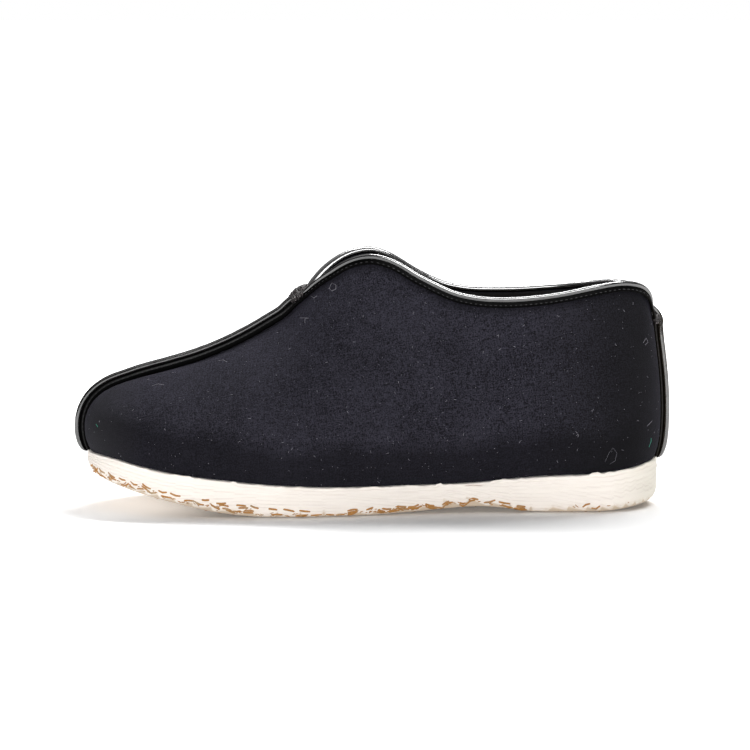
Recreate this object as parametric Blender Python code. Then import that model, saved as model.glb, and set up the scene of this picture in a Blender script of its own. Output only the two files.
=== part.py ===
"""A padded black cotton shoe on a thick quilted sole of white cloth layers, for a right foot.

Metres, +Z up. The toe points to -X, the medial (big toe) side is -Y, and the floor is z = 0. The origin is on
the floor, under the middle of the shoe. Shapes are worked out from the driving sizes below and from tables
with a row for each cross-section, whose columns are percentages of those sizes.
"""

import math
from collections import namedtuple

import bmesh
import bpy
import numpy as np

MM = 0.001

# Driving sizes
SOLE_LENGTH = 260.8 * MM
BALL_WIDTH = 98.0 * MM
SOLE_THICKNESS = 14.0 * MM
INSTEP_HEIGHT = 114.0 * MM
WALL = 2.6 * MM
RIM_WALL = 1.7 * MM
GAP = 0.3 * MM
MERGE_DISTANCE = 0.001 * MM

# How the round ends of the sole's outline are drawn in, as lengths of a quarter ellipse
TOE_ROUNDING = 50.0 * MM
HEEL_ROUNDING = 32.0 * MM

# The side of the sole
SOLE_EDGE_ROUNDING = 4.6 * MM
SOLE_LAYERS = 5
LAYER_GROOVE = 0.45 * MM
EDGE_ANGLES = (0, 30, 60, 90)
SOLE_STATIONS = 38

# Where the pieces stand on the sole, measured inwards from its side
UPPER_INSET = 1.5 * MM
INSOLE_INSET = 5.2 * MM
INSOLE_THICKNESS = 3.0 * MM
INSOLE_EDGE = 0.8 * MM
INSOLE_STATIONS = 28

# Mesh density of the upper: stations from the toe to the throat, and on to the heel, and rows up the wall
FRONT_STATIONS = 19
BACK_STATIONS = 31
WALL_ROWS = 11

# How far the body of a panel evens out its top edge, as a share of the way round
BODY_BLEND = 0.07

# The standing pair of bound edges on each seam: a flat margin, and a bead along its top
PIPING_HEIGHT = 5.2 * MM
HEEL_PIPING_HEIGHT = 4.6 * MM
PIPING_START = 2.4 * MM
PIPING_FOOT = 0.4 * MM
PIPING_MARGIN = 1.35 * MM
BEAD_HALF_WIDTH = 1.1 * MM
BEAD_HALF_HEIGHT = 1.25 * MM
BEAD_NECK = 2.9 * MM
NECK_HOLLOW = 0.25 * MM

# The bound edge round the collar: a bead over the rim, and a margin that flares a little down the wall
COLLAR_BEAD_HEIGHT = 2.7 * MM
COLLAR_BEAD_LAP = 0.9 * MM
COLLAR_MARGIN = 0.8 * MM
COLLAR_MARGIN_DEPTH = 3.4 * MM
COLLAR_MARGIN_FLARE = 0.3 * MM
COLLAR_START = 4.2 * MM
COLLAR_END = 4.4 * MM

# The thread tacks that end the two ridges
TACK_LENGTH = 8.0 * MM
HEEL_TACK_LENGTH = 5.0 * MM
TACK_CLEARANCE = 0.6 * MM
TACK_HALF_WIDTH = 3.3 * MM
TACK_FOOT = 0.45 * MM
TACK_RISE = 0.9 * MM
TACK_SWELLS = (0.72, 0.96, 1.06, 0.96, 0.72)
TACK_SIDES = 12

# How smooth shading and slopes are worked out
SHARP_ANGLE = math.radians(50)
SLOPE_STEP = 0.004
BODY_BLEND_SAMPLES = 9

# along: from the toe tip, in % of the sole's length. middle: the middle line, + to the lateral side, and
# half_width, before the ends are rounded, in % of the ball width. underside and topside: heights above the
# floor in % of the sole's thickness.
SoleSection = namedtuple("SoleSection", "along middle half_width underside topside")
SOLE_SECTIONS = [
    SoleSection(*row)
    for row in (
        (0.0, -3.0, 38.5, 115, 182),
        (5.5, -3.8, 41.0, 88, 175),
        (11.5, -3.4, 43.0, 61, 153),
        (16.3, -2.7, 44.4, 41, 138),
        (23.5, -1.6, 46.8, 13, 121),
        (32.5, -0.5, 49.4, 0, 106),
        (38.5, 0.3, 49.4, 0, 99),
        (49.5, 2.8, 46.0, 0, 94),
        (59.0, 4.2, 40.4, 7, 94),
        (69.0, 3.4, 36.2, 19, 100),
        (78.5, 1.6, 34.6, 0, 118),
        (89.0, 0.4, 32.8, 0, 126),
        (95.5, 0.0, 32.4, 9, 141),
        (100.0, 0.0, 32.2, 20, 158),
    )
]

# The top edge of each panel: the seam up the front, the throat at gap 0, the collar and the notch at the
# heel. foot: where the section stands along the sole, and reach: where it ends, in % of the length. gap: from
# the middle to the edge, in % of the ball width. medial and lateral: heights in % of the instep height.
PanelTop = namedtuple("PanelTop", "foot reach gap medial lateral")
PANEL_TOPS = [
    PanelTop(*row)
    for row in (
        (0.0, 7.0, 0.0, 49.8, 49.8),
        (1.5, 8.4, 0.0, 51.0, 51.0),
        (5.4, 11.3, 0.0, 53.0, 53.0),
        (11.5, 15.5, 0.0, 55.6, 55.6),
        (19.2, 21.2, 0.0, 59.7, 59.7),
        (27.6, 28.1, 0.0, 66.8, 66.8),
        (33.8, 33.3, 0.0, 73.9, 73.9),
        (39.4, 38.0, 0.0, 82.2, 82.2),
        (40.2, 38.8, 4.0, 85.0, 85.6),
        (42.0, 40.8, 8.0, 88.6, 91.0),
        (45.0, 44.2, 13.8, 94.4, 96.8),
        (47.6, 47.0, 17.2, 97.7, 98.8),
        (50.4, 49.6, 19.6, 99.4, 100.0),
        (53.4, 52.6, 21.5, 98.0, 97.2),
        (58.8, 58.0, 24.4, 91.1, 89.6),
        (65.6, 65.1, 27.3, 84.1, 83.4),
        (72.8, 73.0, 28.9, 82.5, 82.6),
        (80.2, 81.2, 28.6, 84.1, 83.5),
        (86.4, 88.0, 25.4, 87.0, 85.0),
        (91.4, 92.7, 19.8, 88.4, 86.2),
        (95.0, 95.8, 13.6, 87.2, 85.2),
        (97.5, 97.6, 8.6, 84.4, 83.2),
        (99.3, 98.4, 4.2, 78.6, 78.4),
        (100.0, 98.5, 0.0, 77.0, 77.0),
    )
]
THROAT_FOOT = PANEL_TOPS[7].foot
COLLAR_FOOT = PANEL_TOPS[8].foot

# How the wall swells between the sole and the top edge: the handles of a curve, outwards and up from its foot
# and outwards and down from its top, in mm.
PanelSwell = namedtuple("PanelSwell", "foot low_out low_up high_out high_down")
PANEL_SWELLS = [
    PanelSwell(*row)
    for row in (
        (0.0, 5.6, 16.0, 17.0, 4.6),
        (5.4, 6.6, 16.0, 21.0, 5.4),
        (19.2, 6.5, 16.0, 31.0, 10.5),
        (33.8, 6.0, 20.0, 27.0, 15.0),
        (45.2, 6.5, 26.0, 16.0, 22.0),
        (56.0, 6.5, 28.0, 9.0, 30.0),
        (69.8, 6.0, 27.0, 5.5, 28.0),
        (85.1, 5.0, 22.0, 5.5, 28.0),
        (100.0, 4.6, 17.0, 4.0, 24.0),
    )
]

MEDIAL, LATERAL = -1, 1
SIDES = {"medial": MEDIAL, "lateral": LATERAL}


def clear_scene():
    for old in list(bpy.data.objects):
        bpy.data.objects.remove(old)


def material(name, colour, roughness):
    made = bpy.data.materials.new(name)
    made.use_nodes = True
    shader = made.node_tree.nodes["Principled BSDF"]
    shader.inputs["Base Color"].default_value = (*colour, 1.0)
    shader.inputs["Roughness"].default_value = roughness
    return made


def smooth_curve(places, values, at):
    """The value at a place of a smooth curve through a table's points, flat where the table is flat."""
    steps = np.diff(places)
    slopes = np.diff(values) / steps
    tangents = np.zeros(len(places))
    tangents[0], tangents[-1] = slopes[0], slopes[-1]
    for k in range(1, len(places) - 1):
        before, after = slopes[k - 1], slopes[k]
        if before * after > 0:
            middle = (before * steps[k] + after * steps[k - 1]) / (steps[k] + steps[k - 1])
            steepest = 3 * min(abs(before), abs(after))
            tangents[k] = math.copysign(min(abs(middle), steepest), before)
    k = int(np.clip(np.searchsorted(places, at, side="right") - 1, 0, len(steps) - 1))
    share = (at - places[k]) / steps[k]
    ease = share * share * (3 - 2 * share)
    pull = share * (1 - share) ** 2 * tangents[k] - share * share * (1 - share) * tangents[k + 1]
    return values[k] + ease * (values[k + 1] - values[k]) + steps[k] * pull


def turn_of(percent):
    """How far round a side a place along the sole lies, 0 at the toe and 1 at the heel, as on an ellipse."""
    return math.acos(1 - 2 * percent / 100) / math.pi


THROAT = turn_of(THROAT_FOOT)


def sole_size(name, along, unit):
    """One column of the sole's table, at a distance from the toe tip."""
    places = [row.along / 100 for row in SOLE_SECTIONS]
    values = [getattr(row, name) / 100 * unit for row in SOLE_SECTIONS]
    return smooth_curve(places, values, float(np.clip(along / SOLE_LENGTH, 0, 1)))


def panel_size(rows, name, turn, unit):
    """One column of a panel's table, at a share of the way round the side."""
    places = [turn_of(row.foot) for row in rows]
    return smooth_curve(places, [getattr(row, name) * unit for row in rows], turn)


def round_ends(along):
    """The share of the half width that is left where the toe and the heel are rounded."""
    from_toe = max(0.0, 1 - along / TOE_ROUNDING)
    from_heel = max(0.0, 1 - (SOLE_LENGTH - along) / HEEL_ROUNDING)
    return math.sqrt(max(0.0, 1 - from_toe**2)) * math.sqrt(max(0.0, 1 - from_heel**2))


def on_round(turn, side):
    """Past the toe or the heel, the turn runs on along the other side."""
    if turn < 0:
        return -turn, -side
    if turn > 1:
        return 2 - turn, -side
    return turn, side


def outline(turn, side):
    """A point of the sole's plan outline."""
    turn, side = on_round(turn, side)
    along = SOLE_LENGTH * (1 - math.cos(math.pi * turn)) / 2
    half = sole_size("half_width", along, BALL_WIDTH) * round_ends(along)
    return np.array([along - SOLE_LENGTH / 2, sole_size("middle", along, BALL_WIDTH) + side * half])


def outwards(turn, side):
    """The direction, seen from above, that points straight out of the outline."""
    run = outline(turn + SLOPE_STEP, side) - outline(turn - SLOPE_STEP, side)
    out = side * np.array([-run[1], run[0]])
    return out / np.linalg.norm(out)


def inset_point(turn, side, inset):
    return outline(turn, side) - inset * outwards(turn, side)


def sole_height(name, x):
    return sole_size(name, x + SOLE_LENGTH / 2, SOLE_THICKNESS)


def mesh_object(name, points, faces, finish):
    """A smooth-shaded object. Points that lie in one place, as on a seam, become one."""
    shape = bmesh.new()
    corners = [shape.verts.new(point) for point in points]
    for face in faces:
        shape.faces.new([corners[k] for k in face])
    bmesh.ops.remove_doubles(shape, verts=shape.verts, dist=MERGE_DISTANCE)
    mesh = bpy.data.meshes.new(name)
    shape.to_mesh(mesh)
    shape.free()
    mesh.shade_smooth()
    mesh.set_sharp_from_angle(angle=SHARP_ANGLE)
    mesh.materials.append(finish)
    made = bpy.data.objects.new(name, mesh)
    bpy.context.scene.collection.objects.link(made)


def ring_turns(stations):
    """The stations of a closed ring: from toe to heel on the medial side, and back on the lateral side."""
    there = [(k / stations, MEDIAL) for k in range(stations + 1)]
    back = [(k / stations, LATERAL) for k in range(stations - 1, 0, -1)]
    return there + back


def bands(rings, count):
    """The faces between rings of points, numbered one ring after another."""
    faces = []
    for ring in range(rings - 1):
        here, there = ring * count, (ring + 1) * count
        for k in range(count):
            after = (k + 1) % count
            faces.append([here + k, here + after, there + after, there + k])
    return faces


def pad(name, rings, finish):
    """A closed body from rings laid one above another, closed below and above by rungs from side to side."""
    count = len(rings[0])
    faces = bands(len(rings), count)
    top = (len(rings) - 1) * count
    for k in range(count // 2):
        across = [k, k + 1, (count - k - 1) % count, (count - k) % count]
        rung = list(dict.fromkeys(across))
        faces.append([top + corner for corner in rung])
        faces.append(rung[::-1])
    mesh_object(name, [point for ring in rings for point in ring], faces, finish)


def sole_ring(inset, share, lift):
    """A ring round the sole, at a share of the way up from a lift above its underside to its topside."""
    ring = []
    for turn, side in ring_turns(SOLE_STATIONS):
        x, y = inset_point(turn, side, inset)
        low = sole_height("underside", x) + lift
        ring.append((x, y, low + share * (sole_height("topside", x) - low)))
    return ring


def make_sole(finish):
    """The rounded lower edge, and above it a side with a rib for each group of cloth layers."""
    rings = []
    for angle in map(math.radians, EDGE_ANGLES):
        inset = LAYER_GROOVE + SOLE_EDGE_ROUNDING * (1 - math.sin(angle))
        rings.append(sole_ring(inset, 0, SOLE_EDGE_ROUNDING * (1 - math.cos(angle))))
    for layer in range(SOLE_LAYERS):
        rings.append(sole_ring(0, (layer + 0.5) / SOLE_LAYERS, SOLE_EDGE_ROUNDING))
        rings.append(sole_ring(LAYER_GROOVE, (layer + 1) / SOLE_LAYERS, SOLE_EDGE_ROUNDING))
    pad("sole", rings, finish)


def make_insole(finish):
    rings = []
    for inset, height in (
        (INSOLE_INSET + INSOLE_EDGE, 0),
        (INSOLE_INSET, INSOLE_EDGE),
        (INSOLE_INSET, INSOLE_THICKNESS - INSOLE_EDGE),
        (INSOLE_INSET + INSOLE_EDGE, INSOLE_THICKNESS),
    ):
        ring = []
        for turn, side in ring_turns(INSOLE_STATIONS):
            x, y = inset_point(turn, side, inset)
            ring.append((x, y, sole_height("topside", x) + GAP + height))
        rings.append(ring)
    pad("insole", rings, finish)


def panel_top(turn, side):
    """The top end of the section that stands at this turn."""
    reach = panel_size(PANEL_TOPS, "reach", turn, SOLE_LENGTH / 100)
    gap = panel_size(PANEL_TOPS, "gap", turn, BALL_WIDTH / 100)
    column = "medial" if side == MEDIAL else "lateral"
    height = panel_size(PANEL_TOPS, column, turn, INSTEP_HEIGHT / 100)
    if turn > THROAT:
        at_throat = sole_size("middle", THROAT_FOOT / 100 * SOLE_LENGTH, BALL_WIDTH)
        middle = at_throat * (1 - turn) / (1 - THROAT)
    else:
        middle = sole_size("middle", reach, BALL_WIDTH)
    return np.array([reach - SOLE_LENGTH / 2, middle + side * max(gap, 0), height])


def body_top(turn, side):
    """The top end without the sudden opening at the throat: its mean over a short stretch."""
    shifts = np.linspace(-BODY_BLEND, BODY_BLEND, BODY_BLEND_SAMPLES)
    return np.mean([panel_top(*on_round(turn + shift, side)) for shift in shifts], axis=0)


def panel_point(turn, side, rise):
    """A point of a panel's outer face: turn runs from toe to heel, rise from the sole to the top edge."""
    x, y = inset_point(turn, side, UPPER_INSET)
    foot = np.array([x, y, sole_height("topside", x) + GAP])
    out, up = np.array([*outwards(turn, side), 0.0]), np.array([0.0, 0.0, 1.0])
    swell = PanelSwell(*(panel_size(PANEL_SWELLS, name, turn, MM) for name in PanelSwell._fields))
    low = foot + out * swell.low_out + up * swell.low_up
    high = body_top(turn, side) + out * swell.high_out - up * swell.high_down
    left = 1 - rise
    curve = left**3 * foot + 3 * left**2 * rise * low + 3 * left * rise**2 * high
    return curve + rise**3 * panel_top(turn, side)


def panel_normal(turn, side, rise):
    """The direction that points out of a panel's outer face."""
    turns = max(turn - SLOPE_STEP, 0.0), min(turn + SLOPE_STEP, 1.0)
    rises = max(rise - SLOPE_STEP, 0.0), min(rise + SLOPE_STEP, 1.0)
    along = panel_point(turns[1], side, rise) - panel_point(turns[0], side, rise)
    upwards = panel_point(turn, side, rises[1]) - panel_point(turn, side, rises[0])
    normal = side * np.cross(upwards, along)
    return normal / np.linalg.norm(normal)


def upper_turns():
    front = np.linspace(0, THROAT, FRONT_STATIONS + 1)
    back = np.linspace(turn_of(COLLAR_FOOT), 1, BACK_STATIONS)
    return [float(turn) for turn in (*front, *back)]


def column_points(turn, side):
    return [panel_point(turn, side, row / WALL_ROWS) for row in range(WALL_ROWS + 1)]


def front_seam():
    """From the sole up over the toe, and on along the middle to the throat."""
    tops = [panel_top(turn, MEDIAL) for turn in upper_turns()[1 : FRONT_STATIONS + 1]]
    return column_points(0.0, MEDIAL) + tops


def heel_seam():
    return column_points(1.0, MEDIAL)


def run_at(points, k):
    """The direction of a line of points at one of them."""
    run = points[min(k + 1, len(points) - 1)] - points[max(k - 1, 0)]
    return run / np.linalg.norm(run)


def square_to_seam(points, k):
    """On a seam in the middle plane: the direction square to it that has the seam's run on its left."""
    run = run_at(points, k)
    across = np.array([run[2], 0.0, -run[0]])
    return across / np.linalg.norm(across)


def wall_at(row):
    return RIM_WALL if row == WALL_ROWS else WALL


def panel_faces(side):
    """The outer and the inner points of one panel, by station and row, in two tables."""
    outer, inner = [], []
    for turn in upper_turns():
        outer.append(column_points(turn, side))
        normals = [panel_normal(turn, side, row / WALL_ROWS) for row in range(WALL_ROWS + 1)]
        inner.append([p - n * wall_at(row) for row, (p, n) in enumerate(zip(outer[-1], normals))])
    front, heel = front_seam(), heel_seam()
    for k, point in enumerate(front):
        station, row = (0, k) if k <= WALL_ROWS else (k - WALL_ROWS, WALL_ROWS)
        outer[station][row] = point
        inner[station][row] = point + square_to_seam(front, k) * WALL
    for row, point in enumerate(heel):
        outer[-1][row] = point
        inner[-1][row] = point - square_to_seam(heel, row) * wall_at(row)
    for column in inner:
        column[0][2] = sole_height("topside", column[0][0]) + GAP
    return outer, inner


def make_upper(finish):
    """Two hollow panels that meet along the front seam, up to the throat, and along the heel seam."""
    points, faces = [], []
    rows = WALL_ROWS + 1
    for side in SIDES.values():
        outer, inner = panel_faces(side)
        out_start = len(points)
        points += [point for column in outer for point in column]
        in_start = len(points)
        points += [point for column in inner for point in column]
        panel = []
        for k in range(len(outer) - 1):
            here, there = k * rows, (k + 1) * rows
            for row in range(WALL_ROWS):
                face = [here + row, there + row, there + row + 1, here + row + 1]
                panel.append([out_start + corner for corner in face])
                panel.append([in_start + corner for corner in face[::-1]])
            panel.append([in_start + here, in_start + there, out_start + there, out_start + here])
            if k >= FRONT_STATIONS:
                here, there = here + WALL_ROWS, there + WALL_ROWS
                panel.append([out_start + here, out_start + there, in_start + there, in_start + here])
        faces += panel if side == MEDIAL else [face[::-1] for face in panel]
    mesh_object("upper", points, faces, finish)


def cut_path(path, start, end):
    """The part of a path between two lengths from its ends. Each stop is a point and its two directions."""
    run = [0.0]
    for before, after in zip(path, path[1:]):
        run.append(run[-1] + float(np.linalg.norm(after[0] - before[0])))

    def stop_at(length):
        k = int(np.clip(np.searchsorted(run, length) - 1, 0, len(path) - 2))
        share = (length - run[k]) / (run[k + 1] - run[k])
        return tuple(a + share * (b - a) for a, b in zip(path[k], path[k + 1]))

    low, high = start, run[-1] - end
    inside = [stop for length, stop in zip(run, path) if low + GAP < length < high - GAP]
    return [stop_at(low), *inside, stop_at(high)]


def last_part(path, length, end):
    """The end of a path, from a length before its end to a shorter one."""
    whole = sum(float(np.linalg.norm(b[0] - a[0])) for a, b in zip(path, path[1:]))
    return cut_path(path, whole - length, end)


def strip(name, path, sections, finish):
    """A closed body along a path, with a section for each stop, as (out, up) from the stop's point."""
    count = len(sections[0])
    points = []
    for (point, out, up), section in zip(path, sections):
        points += [point + out * a + up * b for a, b in section]
    faces = bands(len(path), count)
    faces.append(list(range(count))[::-1])
    faces.append([len(points) - count + k for k in range(count)])
    if np.dot(np.cross(path[0][1], path[0][2]), path[1][0] - path[0][0]) < 0:
        faces = [face[::-1] for face in faces]
    mesh_object(name, points, faces, finish)


def ridge_section(height):
    """One bound edge of the pair that stands on a seam: a flat stitched margin with a round bead on top."""
    inside, outside = GAP / 2, GAP / 2 + PIPING_MARGIN
    neck = height - BEAD_NECK
    section = [(inside, PIPING_FOOT), (outside, PIPING_FOOT), (outside, neck)]
    for angle in map(math.radians, (-20, 15, 50, 85, 115, 145, 180)):
        out = inside + BEAD_HALF_WIDTH * (1 + math.cos(angle))
        section.append((out, height - BEAD_HALF_HEIGHT * (1 - math.sin(angle))))
    hollow = inside + NECK_HOLLOW
    return [*section, (hollow, neck), (hollow, (neck + PIPING_FOOT) / 2)]


def collar_section():
    """A rolled bead over the wall's rim, with a flat stitched margin down its outer face."""
    foot = GAP + COLLAR_MARGIN_FLARE
    section = [
        (foot, -COLLAR_MARGIN_DEPTH),
        (foot + COLLAR_MARGIN, -COLLAR_MARGIN_DEPTH),
        (GAP + COLLAR_MARGIN, -COLLAR_MARGIN / 2),
    ]
    middle, half = -RIM_WALL / 2, RIM_WALL / 2 + COLLAR_BEAD_LAP
    for angle in map(math.radians, (-15, 20, 55, 90, 125, 160, 195)):
        rise = COLLAR_BEAD_HEIGHT / 2 * (1 + math.sin(angle))
        section.append((middle + half * math.cos(angle), max(GAP, rise)))
    return [*section, (middle - RIM_WALL / 2, GAP), (GAP, GAP)]


def tack_section(height, swell):
    """An oval across both bound edges, flat below where it lies on the seam."""
    section = []
    for k in range(TACK_SIDES):
        angle = 2 * math.pi * k / TACK_SIDES
        rise = height / 2 * (1 + swell * math.sin(angle))
        section.append((TACK_HALF_WIDTH * swell * math.cos(angle), max(TACK_FOOT, rise)))
    return section


def seam_path(points, side, away):
    """Stops along a seam in the middle plane, with out to the side and up away from the shoe."""
    out = np.array([0.0, side, 0.0])
    return [(point, out, away * square_to_seam(points, k)) for k, point in enumerate(points)]


def front_path(side):
    return seam_path(front_seam(), side, -1)


def heel_path(side):
    return seam_path(heel_seam(), side, 1)


def collar_path(side):
    """Stops along the collar of one panel, with out square to its face and up past its edge."""
    turns = upper_turns()[FRONT_STATIONS:]
    points = [panel_top(turn, side) for turn in turns]
    path = []
    for k, turn in enumerate(turns):
        run = run_at(points, k)
        out = panel_normal(turn, side, 1.0)
        out = out - run * np.dot(out, run)
        out = out / np.linalg.norm(out)
        path.append((points[k], out, side * np.cross(run, out)))
    return path


def make_bindings(finish):
    for name, side in SIDES.items():
        path = cut_path(front_path(side), PIPING_START, TACK_LENGTH)
        strip(f"front_piping_{name}", path, [ridge_section(PIPING_HEIGHT)] * len(path), finish)
        path = cut_path(collar_path(side), COLLAR_START, COLLAR_END)
        strip(f"collar_binding_{name}", path, [collar_section()] * len(path), finish)
        path = cut_path(heel_path(side), PIPING_START, HEEL_TACK_LENGTH)
        strip(f"heel_piping_{name}", path, [ridge_section(HEEL_PIPING_HEIGHT)] * len(path), finish)


def make_tack(name, path, height, finish):
    """A lump of wound thread across both bound edges, narrower at its two ends."""
    start, end, up = path[0][0], path[-1][0], path[len(path) // 2][2]
    stops = np.linspace(start, end, len(TACK_SWELLS))
    straight = [(stop, path[0][1], up) for stop in stops]
    strip(name, straight, [tack_section(height, swell) for swell in TACK_SWELLS], finish)


def make_tacks(finish):
    path = last_part(front_path(LATERAL), TACK_LENGTH - TACK_CLEARANCE, GAP)
    make_tack("front_tack", path, PIPING_HEIGHT + TACK_RISE, finish)
    path = last_part(heel_path(LATERAL), HEEL_TACK_LENGTH - TACK_CLEARANCE, GAP)
    make_tack("heel_tack", path, HEEL_PIPING_HEIGHT + TACK_RISE, finish)


clear_scene()
make_sole(material("sole_cotton", (0.80, 0.75, 0.67), 0.9))
make_insole(material("insole_cotton", (0.72, 0.68, 0.60), 0.9))
make_upper(material("black_cotton", (0.012, 0.012, 0.017), 0.95))
make_bindings(material("black_leather", (0.010, 0.010, 0.011), 0.35))
make_tacks(material("black_thread", (0.020, 0.020, 0.025), 0.7))
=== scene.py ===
import math
import random

import bmesh
import bpy
import numpy as np
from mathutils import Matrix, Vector, noise


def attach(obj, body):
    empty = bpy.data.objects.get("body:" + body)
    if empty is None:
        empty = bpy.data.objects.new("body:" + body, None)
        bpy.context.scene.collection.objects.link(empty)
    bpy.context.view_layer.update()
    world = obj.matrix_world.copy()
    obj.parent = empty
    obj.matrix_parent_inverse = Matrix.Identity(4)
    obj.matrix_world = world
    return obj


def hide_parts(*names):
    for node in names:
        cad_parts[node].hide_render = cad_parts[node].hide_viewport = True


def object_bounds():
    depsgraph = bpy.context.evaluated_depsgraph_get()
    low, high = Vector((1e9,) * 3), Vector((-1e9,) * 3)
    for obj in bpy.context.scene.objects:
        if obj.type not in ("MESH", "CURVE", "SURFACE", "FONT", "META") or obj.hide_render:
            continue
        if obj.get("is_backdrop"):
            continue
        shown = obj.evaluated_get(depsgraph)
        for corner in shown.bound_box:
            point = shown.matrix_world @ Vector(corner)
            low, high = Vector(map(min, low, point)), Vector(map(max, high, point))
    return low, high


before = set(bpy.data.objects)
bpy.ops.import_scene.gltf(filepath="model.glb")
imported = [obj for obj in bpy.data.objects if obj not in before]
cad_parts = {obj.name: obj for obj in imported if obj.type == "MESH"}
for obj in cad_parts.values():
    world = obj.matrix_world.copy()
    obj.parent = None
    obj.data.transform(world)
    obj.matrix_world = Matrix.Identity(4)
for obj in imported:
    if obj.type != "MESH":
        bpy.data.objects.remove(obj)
cad_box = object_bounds()
MM = 0.001


# The studio. One camera looks at the big-toe side of the shoe from a little above a floor of white paper, in a
# white room that is brightest overhead and behind. The front softbox and the strip beside the heel only shine
# back from the leather, and the low softbox only lights the cloth and the sole.
CAMERA_AIM = Vector((1.15 * MM, 0.0, 59.0 * MM))
CAMERA_ELEVATION = math.radians(6.4)
CAMERA_DISTANCE = 1.6
SENSOR_WIDTH = 36.0
FRAME_WIDTH = 0.3424
WHITE = (1.0, 1.0, 1.0, 1.0)
ROOM_WHITE = 1.0
# The light of the room by its direction, from one height or depth on a ball of radius 1 to another.
CEILING = {"from": 0.50, "to": 0.80, "light_below": 0.12, "light_above": 1.15}
BACK = {"from": -0.10, "to": 0.45, "light_before": 0.24, "light_behind": 1.0}
FLOOR_WIDTH = 40.0
PAPER_COLOUR = (0.97, 0.97, 0.97, 1.0)
# The glow of the paper round two centres on it, from one distance to another.
PAPER_GLOWS = {
    (0.0, 0.0): {"from": 0.15, "to": 0.55, "glow_near": 0.04, "glow_far": 1.0},
    (-136 * MM, -10 * MM): {"from": 26 * MM, "to": 78 * MM, "glow_near": 0.36, "glow_far": 0.0},
}

camera_data = bpy.data.cameras.new("studio_camera")
camera = bpy.data.objects.new("studio_camera", camera_data)
bpy.context.scene.collection.objects.link(camera)
bpy.context.scene.camera = camera
camera_back = Vector((0.0, -math.cos(CAMERA_ELEVATION), math.sin(CAMERA_ELEVATION)))
camera.location = CAMERA_AIM + camera_back * CAMERA_DISTANCE
camera.rotation_euler = (-camera_back).to_track_quat("-Z", "Y").to_euler()
camera_data.sensor_width = SENSOR_WIDTH
camera_data.lens = SENSOR_WIDTH * CAMERA_DISTANCE / FRAME_WIDTH
camera_data.clip_start, camera_data.clip_end = 0.05, 50.0
bpy.context.scene.view_settings.view_transform = "Standard"


def soft_light(name, place, size, watts):
    """An area light of this size that faces the middle of the shoe."""
    lamp = bpy.data.lights.new(name, "AREA")
    lamp.shape = "RECTANGLE"
    lamp.size, lamp.size_y = size
    lamp.energy = watts
    light = bpy.data.objects.new(name, lamp)
    light.location = place
    light.rotation_euler = (CAMERA_AIM - light.location).to_track_quat("-Z", "Y").to_euler()
    bpy.context.scene.collection.objects.link(light)
    return light


def stretched(tree, value, ends, kind="LINEAR"):
    """A value stretched from the range of the first two ends over that of the last two."""
    made = tree.nodes.new("ShaderNodeMapRange")
    made.interpolation_type = kind
    for socket, end in zip(("From Min", "From Max", "To Min", "To Max"), ends):
        made.inputs[socket].default_value = end
    tree.links.new(value, made.inputs["Value"])
    return made.outputs["Result"]


front_softbox = soft_light("front_softbox", Vector((0.30, -0.85, 1.00)), (1.0, 0.55), 24.0)
soft_light("back_softbox", Vector((0.30, 0.58, 1.22)), (1.1, 0.18), 22.0)
low_softbox = soft_light("low_softbox", Vector((-0.15, -1.5, 0.16)), (2.4, 0.26), 22.5)
heel_strip = soft_light("heel_strip", Vector((1.15, 0.85, 0.45)), (0.30, 0.90), 2.0)
front_softbox.visible_diffuse = heel_strip.visible_diffuse = False
low_softbox.visible_glossy = low_softbox.visible_camera = False

room = bpy.data.worlds.new("white_room")
bpy.context.scene.world = room
room.use_nodes = True
room_nodes, room_links = room.node_tree.nodes, room.node_tree.links
direction = room_nodes.new("ShaderNodeSeparateXYZ")
room_links.new(room_nodes.new("ShaderNodeTexCoord").outputs["Generated"], direction.inputs[0])
room_light = room_nodes.new("ShaderNodeMath")
room_light.operation = "MULTIPLY"
for socket, axis, ends in zip(room_light.inputs, "ZY", (CEILING, BACK)):
    room_links.new(stretched(room.node_tree, direction.outputs[axis], ends.values()), socket)
brightness = room_nodes.new("ShaderNodeMix")
brightness.inputs["B"].default_value = ROOM_WHITE
seen_or_lit = room_nodes.new("ShaderNodeLightPath")
room_links.new(seen_or_lit.outputs["Is Camera Ray"], brightness.inputs["Factor"])
room_links.new(room_light.outputs["Value"], brightness.inputs["A"])
room_links.new(brightness.outputs["Result"], room_nodes["Background"].inputs["Strength"])
room_nodes["Background"].inputs["Color"].default_value = WHITE

bpy.ops.object.select_all(action="DESELECT")
bpy.ops.mesh.primitive_plane_add(size=FLOOR_WIDTH)
floor = bpy.context.object
floor.name = "paper_floor"
paper = bpy.data.materials.new("white_paper")
paper.use_nodes = True
paper_nodes, paper_links = paper.node_tree.nodes, paper.node_tree.links
paper_shader = paper_nodes["Principled BSDF"]
paper_shader.inputs["Base Color"].default_value = PAPER_COLOUR
paper_shader.inputs["Roughness"].default_value = 0.9
paper_shader.inputs["Emission Color"].default_value = WHITE
paper_place = paper_nodes.new("ShaderNodeTexCoord")
all_glow = paper_nodes.new("ShaderNodeMath")
for socket, (centre, ends) in zip(all_glow.inputs, PAPER_GLOWS.items()):
    away = paper_nodes.new("ShaderNodeVectorMath")
    away.operation = "DISTANCE"
    away.inputs[1].default_value = (*centre, 0.0)
    paper_links.new(paper_place.outputs["Object"], away.inputs[0])
    paper_links.new(stretched(paper.node_tree, away.outputs["Value"], ends.values(), "SMOOTHSTEP"), socket)
paper_links.new(all_glow.outputs["Value"], paper_shader.inputs["Emission Strength"])
floor.data.materials.append(paper)
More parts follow.
